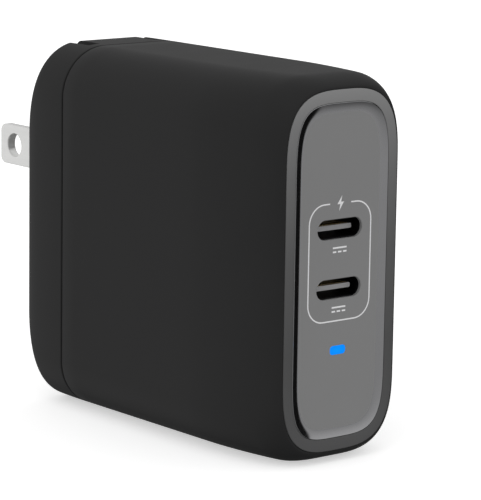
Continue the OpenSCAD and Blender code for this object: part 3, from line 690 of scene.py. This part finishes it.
# ---------------------------------------------------------------- ports and light
for half in ("upper", "lower"):
    repaint("usb_shell_" + half, port_shade_mat, 0.08)
    repaint("usb_tongue_" + half, tongue_mat, 0.05)
    repaint("usb_contacts_" + half, gold_mat)
repaint("light_pipe", glow_mat, 0.1)


# ---------------------------------------------------------------- plug
def blade_loop():
    """Outline of a blade with its tail, as (y, z)."""
    z0, z1, r = BLADE_Z - BLADE_W / 2, BLADE_Z + BLADE_W / 2, BLADE_CORNER
    yb, yt = PIVOT_Y - BLADE_ROOT, PIVOT_Y - BLADE_TAIL
    pts = [(yt, PIVOT_Z - TAIL_LOW), (yb, PIVOT_Z - TAIL_LOW), (yb, z0)]
    for cz, start in ((z0 + r, -90), (z1 - r, 0)):
        for i in range(11):
            t = math.radians(start + i * 9)
            pts.append((TIP_Y - r + r * math.cos(t), cz + r * math.sin(t)))
    return pts + [(yb, z1), (yb, PIVOT_Z), (yt, PIVOT_Z)]


def hole_loop():
    turns = [math.radians(i * 5) for i in range(72)]
    return [(TIP_Y - HOLE_IN + HOLE_R * math.cos(t), BLADE_Z + HOLE_R * math.sin(t)) for t in turns]


for side, s in (("left", -1), ("right", 1)):
    x = s * PITCH / 2
    ob = plate("plug_blade_" + side, [blade_loop(), hole_loop()], x - BLADE_T / 2, x + BLADE_T / 2,
               bevel=0.16, res=3, axis="X")
    paint(ob, blade_mat)
    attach(ob, "plug")
    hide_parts("blade_" + side)
repaint("prong_carrier", carrier_mat, 0.15)

# ---------------------------------------------------------------- inside pieces
board_mat = plastic("board_mask", (0.01, 0.11, 0.045), 0.3, grain_mm=0.4, coat=0.3)
ferrite_mat = plastic("ferrite", (0.03, 0.03, 0.032), 0.6, grain_mm=0.1, grain=0.15)
green_core_mat = plastic("core_coating", (0.05, 0.14, 0.07), 0.45)
copper_mat = metal("enamelled_wire", (0.62, 0.27, 0.10), 0.3, stretch=(1, 1, 14), scale=700, scratch=0.2)
tape_mat = plastic("yellow_tape", (0.72, 0.48, 0.04), 0.3, coat=0.3)
sleeve_mat = plastic("can_sleeve", (0.012, 0.012, 0.06), 0.28, coat=0.4)
can_mat = metal("can_aluminium", (0.66, 0.66, 0.68), 0.3)
yellow_mat = plastic("box_capacitor", (0.7, 0.48, 0.03), 0.45)
blue_mat = plastic("disc_capacitor", (0.02, 0.1, 0.45), 0.35)
cream_mat = plastic("cream_plastic", (0.68, 0.65, 0.52), 0.5)
green_mat = plastic("dipped_green", (0.03, 0.17, 0.05), 0.4)
white_mat = plastic("white_package", (0.75, 0.75, 0.74), 0.45)
sheet_metal_mat = metal("spreader_aluminium", (0.62, 0.62, 0.64), 0.35, stretch=(1, 12, 1))
pad_mat = plastic("thermal_rubber", (0.22, 0.33, 0.42), 0.7, grain_mm=0.5, grain=0.2)
film_mat = plastic("insulating_film", (0.66, 0.66, 0.58), 0.25)
bronze_mat = metal("spring_bronze", (0.62, 0.38, 0.16), 0.3)
steel_mat = metal("plated_steel", (0.56, 0.56, 0.58), 0.3)
wire_mat = plastic("wire_insulation", (0.33, 0.01, 0.01), 0.4)

INSIDE = {
    board_mat: ["port_board", "main_board"],
    ferrite_mat: ["transformer_core"],
    green_core_mat: ["choke_core"],
    copper_mat: ["transformer_winding", "choke_winding"],
    tape_mat: ["transformer_tape"],
    sleeve_mat: ["input_capacitors"],
    can_mat: ["output_capacitors"],
    yellow_mat: ["x_capacitor"],
    blue_mat: ["y_capacitor"],
    cream_mat: ["terminal_block", "fuse"],
    green_mat: ["thermistor"],
    white_mat: ["optocoupler", "led"],
    sheet_metal_mat: ["heat_spreader"],
    pad_mat: ["thermal_pad"],
    film_mat: ["insulation_sheet"],
    bronze_mat: ["contact_springs"],
    steel_mat: ["bearing_screws", "detent_spring"],
    wire_mat: ["input_wires"],
    black_mat: ["port_controllers", "board_link", "transformer_bobbin", "bridge_rectifier",
                "power_transistor", "primary_controller", "bearing_caps"],
}
for mat, names in INSIDE.items():
    for nm in names:
        repaint(nm, mat)


# ---------------------------------------------------------------- floor, light, camera
def area_light(name, loc, target, size, power):
    la = bpy.data.lights.new(name, "AREA")
    la.shape = "RECTANGLE"
    la.size, la.size_y = size, size
    la.energy = power
    ob = bpy.data.objects.new(name, la)
    ob.location = loc
    ob.rotation_euler = (Vector(target) - Vector(loc)).to_track_quat("-Z", "Y").to_euler()
    bpy.context.scene.collection.objects.link(ob)
    return ob


bm = bmesh.new()
bmesh.ops.create_grid(bm, x_segments=1, y_segments=1, size=3000)
floor = new_object("floor", bm)
floor_mat, nt, bsdf = nodes_of("floor_paint")
bsdf.inputs["Base Color"].default_value = (0.9, 0.9, 0.9, 1)
bsdf.inputs["Roughness"].default_value = 0.9
bsdf.inputs["Specular IOR Level"].default_value = 0.1
bsdf.inputs["Emission Color"].default_value = (1, 1, 1, 1)
bsdf.inputs["Emission Strength"].default_value = 0.5
paint(floor, floor_mat)
floor.visible_glossy = False
floor.visible_diffuse = False

world = bpy.data.worlds.new("studio")
bpy.context.scene.world = world
world.use_nodes = True
wn, wl = world.node_tree.nodes, world.node_tree.links
wco = wn.new("ShaderNodeTexCoord")
wsep = wn.new("ShaderNodeSeparateXYZ")
wl.new(wco.outputs["Generated"], wsep.inputs["Vector"])
height = wn.new("ShaderNodeMapRange")
height.inputs["From Min"].default_value = -1.0
wl.new(wsep.outputs["Z"], height.inputs["Value"])


def sky(stops):
    """Background that changes with height only: stops are (0 nadir to 1 zenith, grey)."""
    ramp = wn.new("ShaderNodeValToRGB")
    el = ramp.color_ramp.elements
    for e, (pos, v) in zip((el[0], el[1]), (stops[0], stops[-1])):
        e.position, e.color = pos, (v, v, v, 1)
    for pos, v in stops[1:-1]:
        el.new(pos).color = (v, v, v, 1)
    wl.new(height.outputs["Result"], ramp.inputs["Fac"])
    out = wn.new("ShaderNodeBackground")
    wl.new(ramp.outputs["Color"], out.inputs["Color"])
    return out


def lobe(under, direction, inner, outer, grey):
    """Patch of one grey round a direction, laid over another background."""
    dot = wn.new("ShaderNodeVectorMath")
    dot.operation = "DOT_PRODUCT"
    wl.new(wco.outputs["Generated"], dot.inputs[0])
    dot.inputs[1].default_value = Vector(direction).normalized()
    edge = wn.new("ShaderNodeMapRange")
    edge.inputs["From Min"].default_value = math.cos(math.radians(outer))
    edge.inputs["From Max"].default_value = math.cos(math.radians(inner))
    wl.new(dot.outputs["Value"], edge.inputs["Value"])
    patch = wn.new("ShaderNodeBackground")
    patch.inputs["Color"].default_value = (grey, grey, grey, 1)
    mix = wn.new("ShaderNodeMixShader")
    wl.new(edge.outputs["Result"], mix.inputs["Fac"])
    wl.new(under.outputs[0], mix.inputs[1])
    wl.new(patch.outputs[0], mix.inputs[2])
    return mix


# Grey by height, from 0 at the nadir to 1 at the zenith. Diffuse light comes
# from the tent. Reflections see the mirror stops, with a dark flag at the right
# of the front and a bright card behind the left. The camera sees white.
TENT = ((0.0, 0.45), (0.47, 0.7), (0.53, 1.0), (0.75, 0.85), (1.0, 0.6))
MIRROR = ((0.0, 0.03), (0.08, 0.06), (0.16, 0.13), (0.28, 0.32), (0.42, 0.45), (0.6, 0.6), (1.0, 0.9))
tent = sky(TENT)
mirror = lobe(sky(MIRROR), (0.985, -0.09, -0.1), 32, 36, 0.01)
mirror = lobe(mirror, (-0.63, 0.78, -0.15), 35, 50, 0.95)
bg = wn["Background"]
bg.inputs["Color"].default_value = (1, 1, 1, 1)
path = wn.new("ShaderNodeLightPath")
first = wn.new("ShaderNodeMixShader")
wl.new(path.outputs["Is Glossy Ray"], first.inputs["Fac"])
wl.new(tent.outputs[0], first.inputs[1])
wl.new(mirror.outputs[0], first.inputs[2])
pick = wn.new("ShaderNodeMixShader")
wl.new(path.outputs["Is Camera Ray"], pick.inputs["Fac"])
wl.new(first.outputs[0], pick.inputs[1])
wl.new(bg.outputs[0], pick.inputs[2])
wl.new(pick.outputs[0], wn["World Output"].inputs["Surface"])

area_light("key_top", (-0.25, -0.2, 0.45), (0, 0, 0.028), 0.3, 0.15)

TH, EL, ROLL = math.radians(38.81), math.radians(10.40), math.radians(0.77)
F_PX, DIST, CX, CY = 2836.8, 429.1, 210.55, 239.99
W_PX, H_PX = 481, 500
back = Vector((-math.sin(TH) * math.cos(EL), -math.cos(TH) * math.cos(EL), math.sin(EL)))
right0 = Vector((math.cos(TH), -math.sin(TH), 0))
up0 = right0.cross(-back)
right = math.cos(ROLL) * right0 + math.sin(ROLL) * up0
up = -math.sin(ROLL) * right0 + math.cos(ROLL) * up0
centre = Vector((0, REAR_Y - 29.75, MID_Z))
cam_data = bpy.data.cameras.new("camera")
cam = bpy.data.objects.new("camera", cam_data)
bpy.context.scene.collection.objects.link(cam)
turn = Matrix((right, up, back)).transposed().to_4x4()
cam.matrix_world = Matrix.Translation((centre + back * DIST) * MM) @ turn
cam_data.sensor_width = 36
cam_data.lens = F_PX * 36 / H_PX
cam_data.shift_x = ((W_PX - 1) / 2 - CX) / H_PX
cam_data.shift_y = (CY - (H_PX - 1) / 2) / H_PX
cam_data.clip_start, cam_data.clip_end = 0.01, 20
bpy.context.scene.camera = cam

bpy.context.scene.view_settings.view_transform = "Standard"
bpy.context.scene.view_settings.look = "None"

bpy.context.view_layer.update()
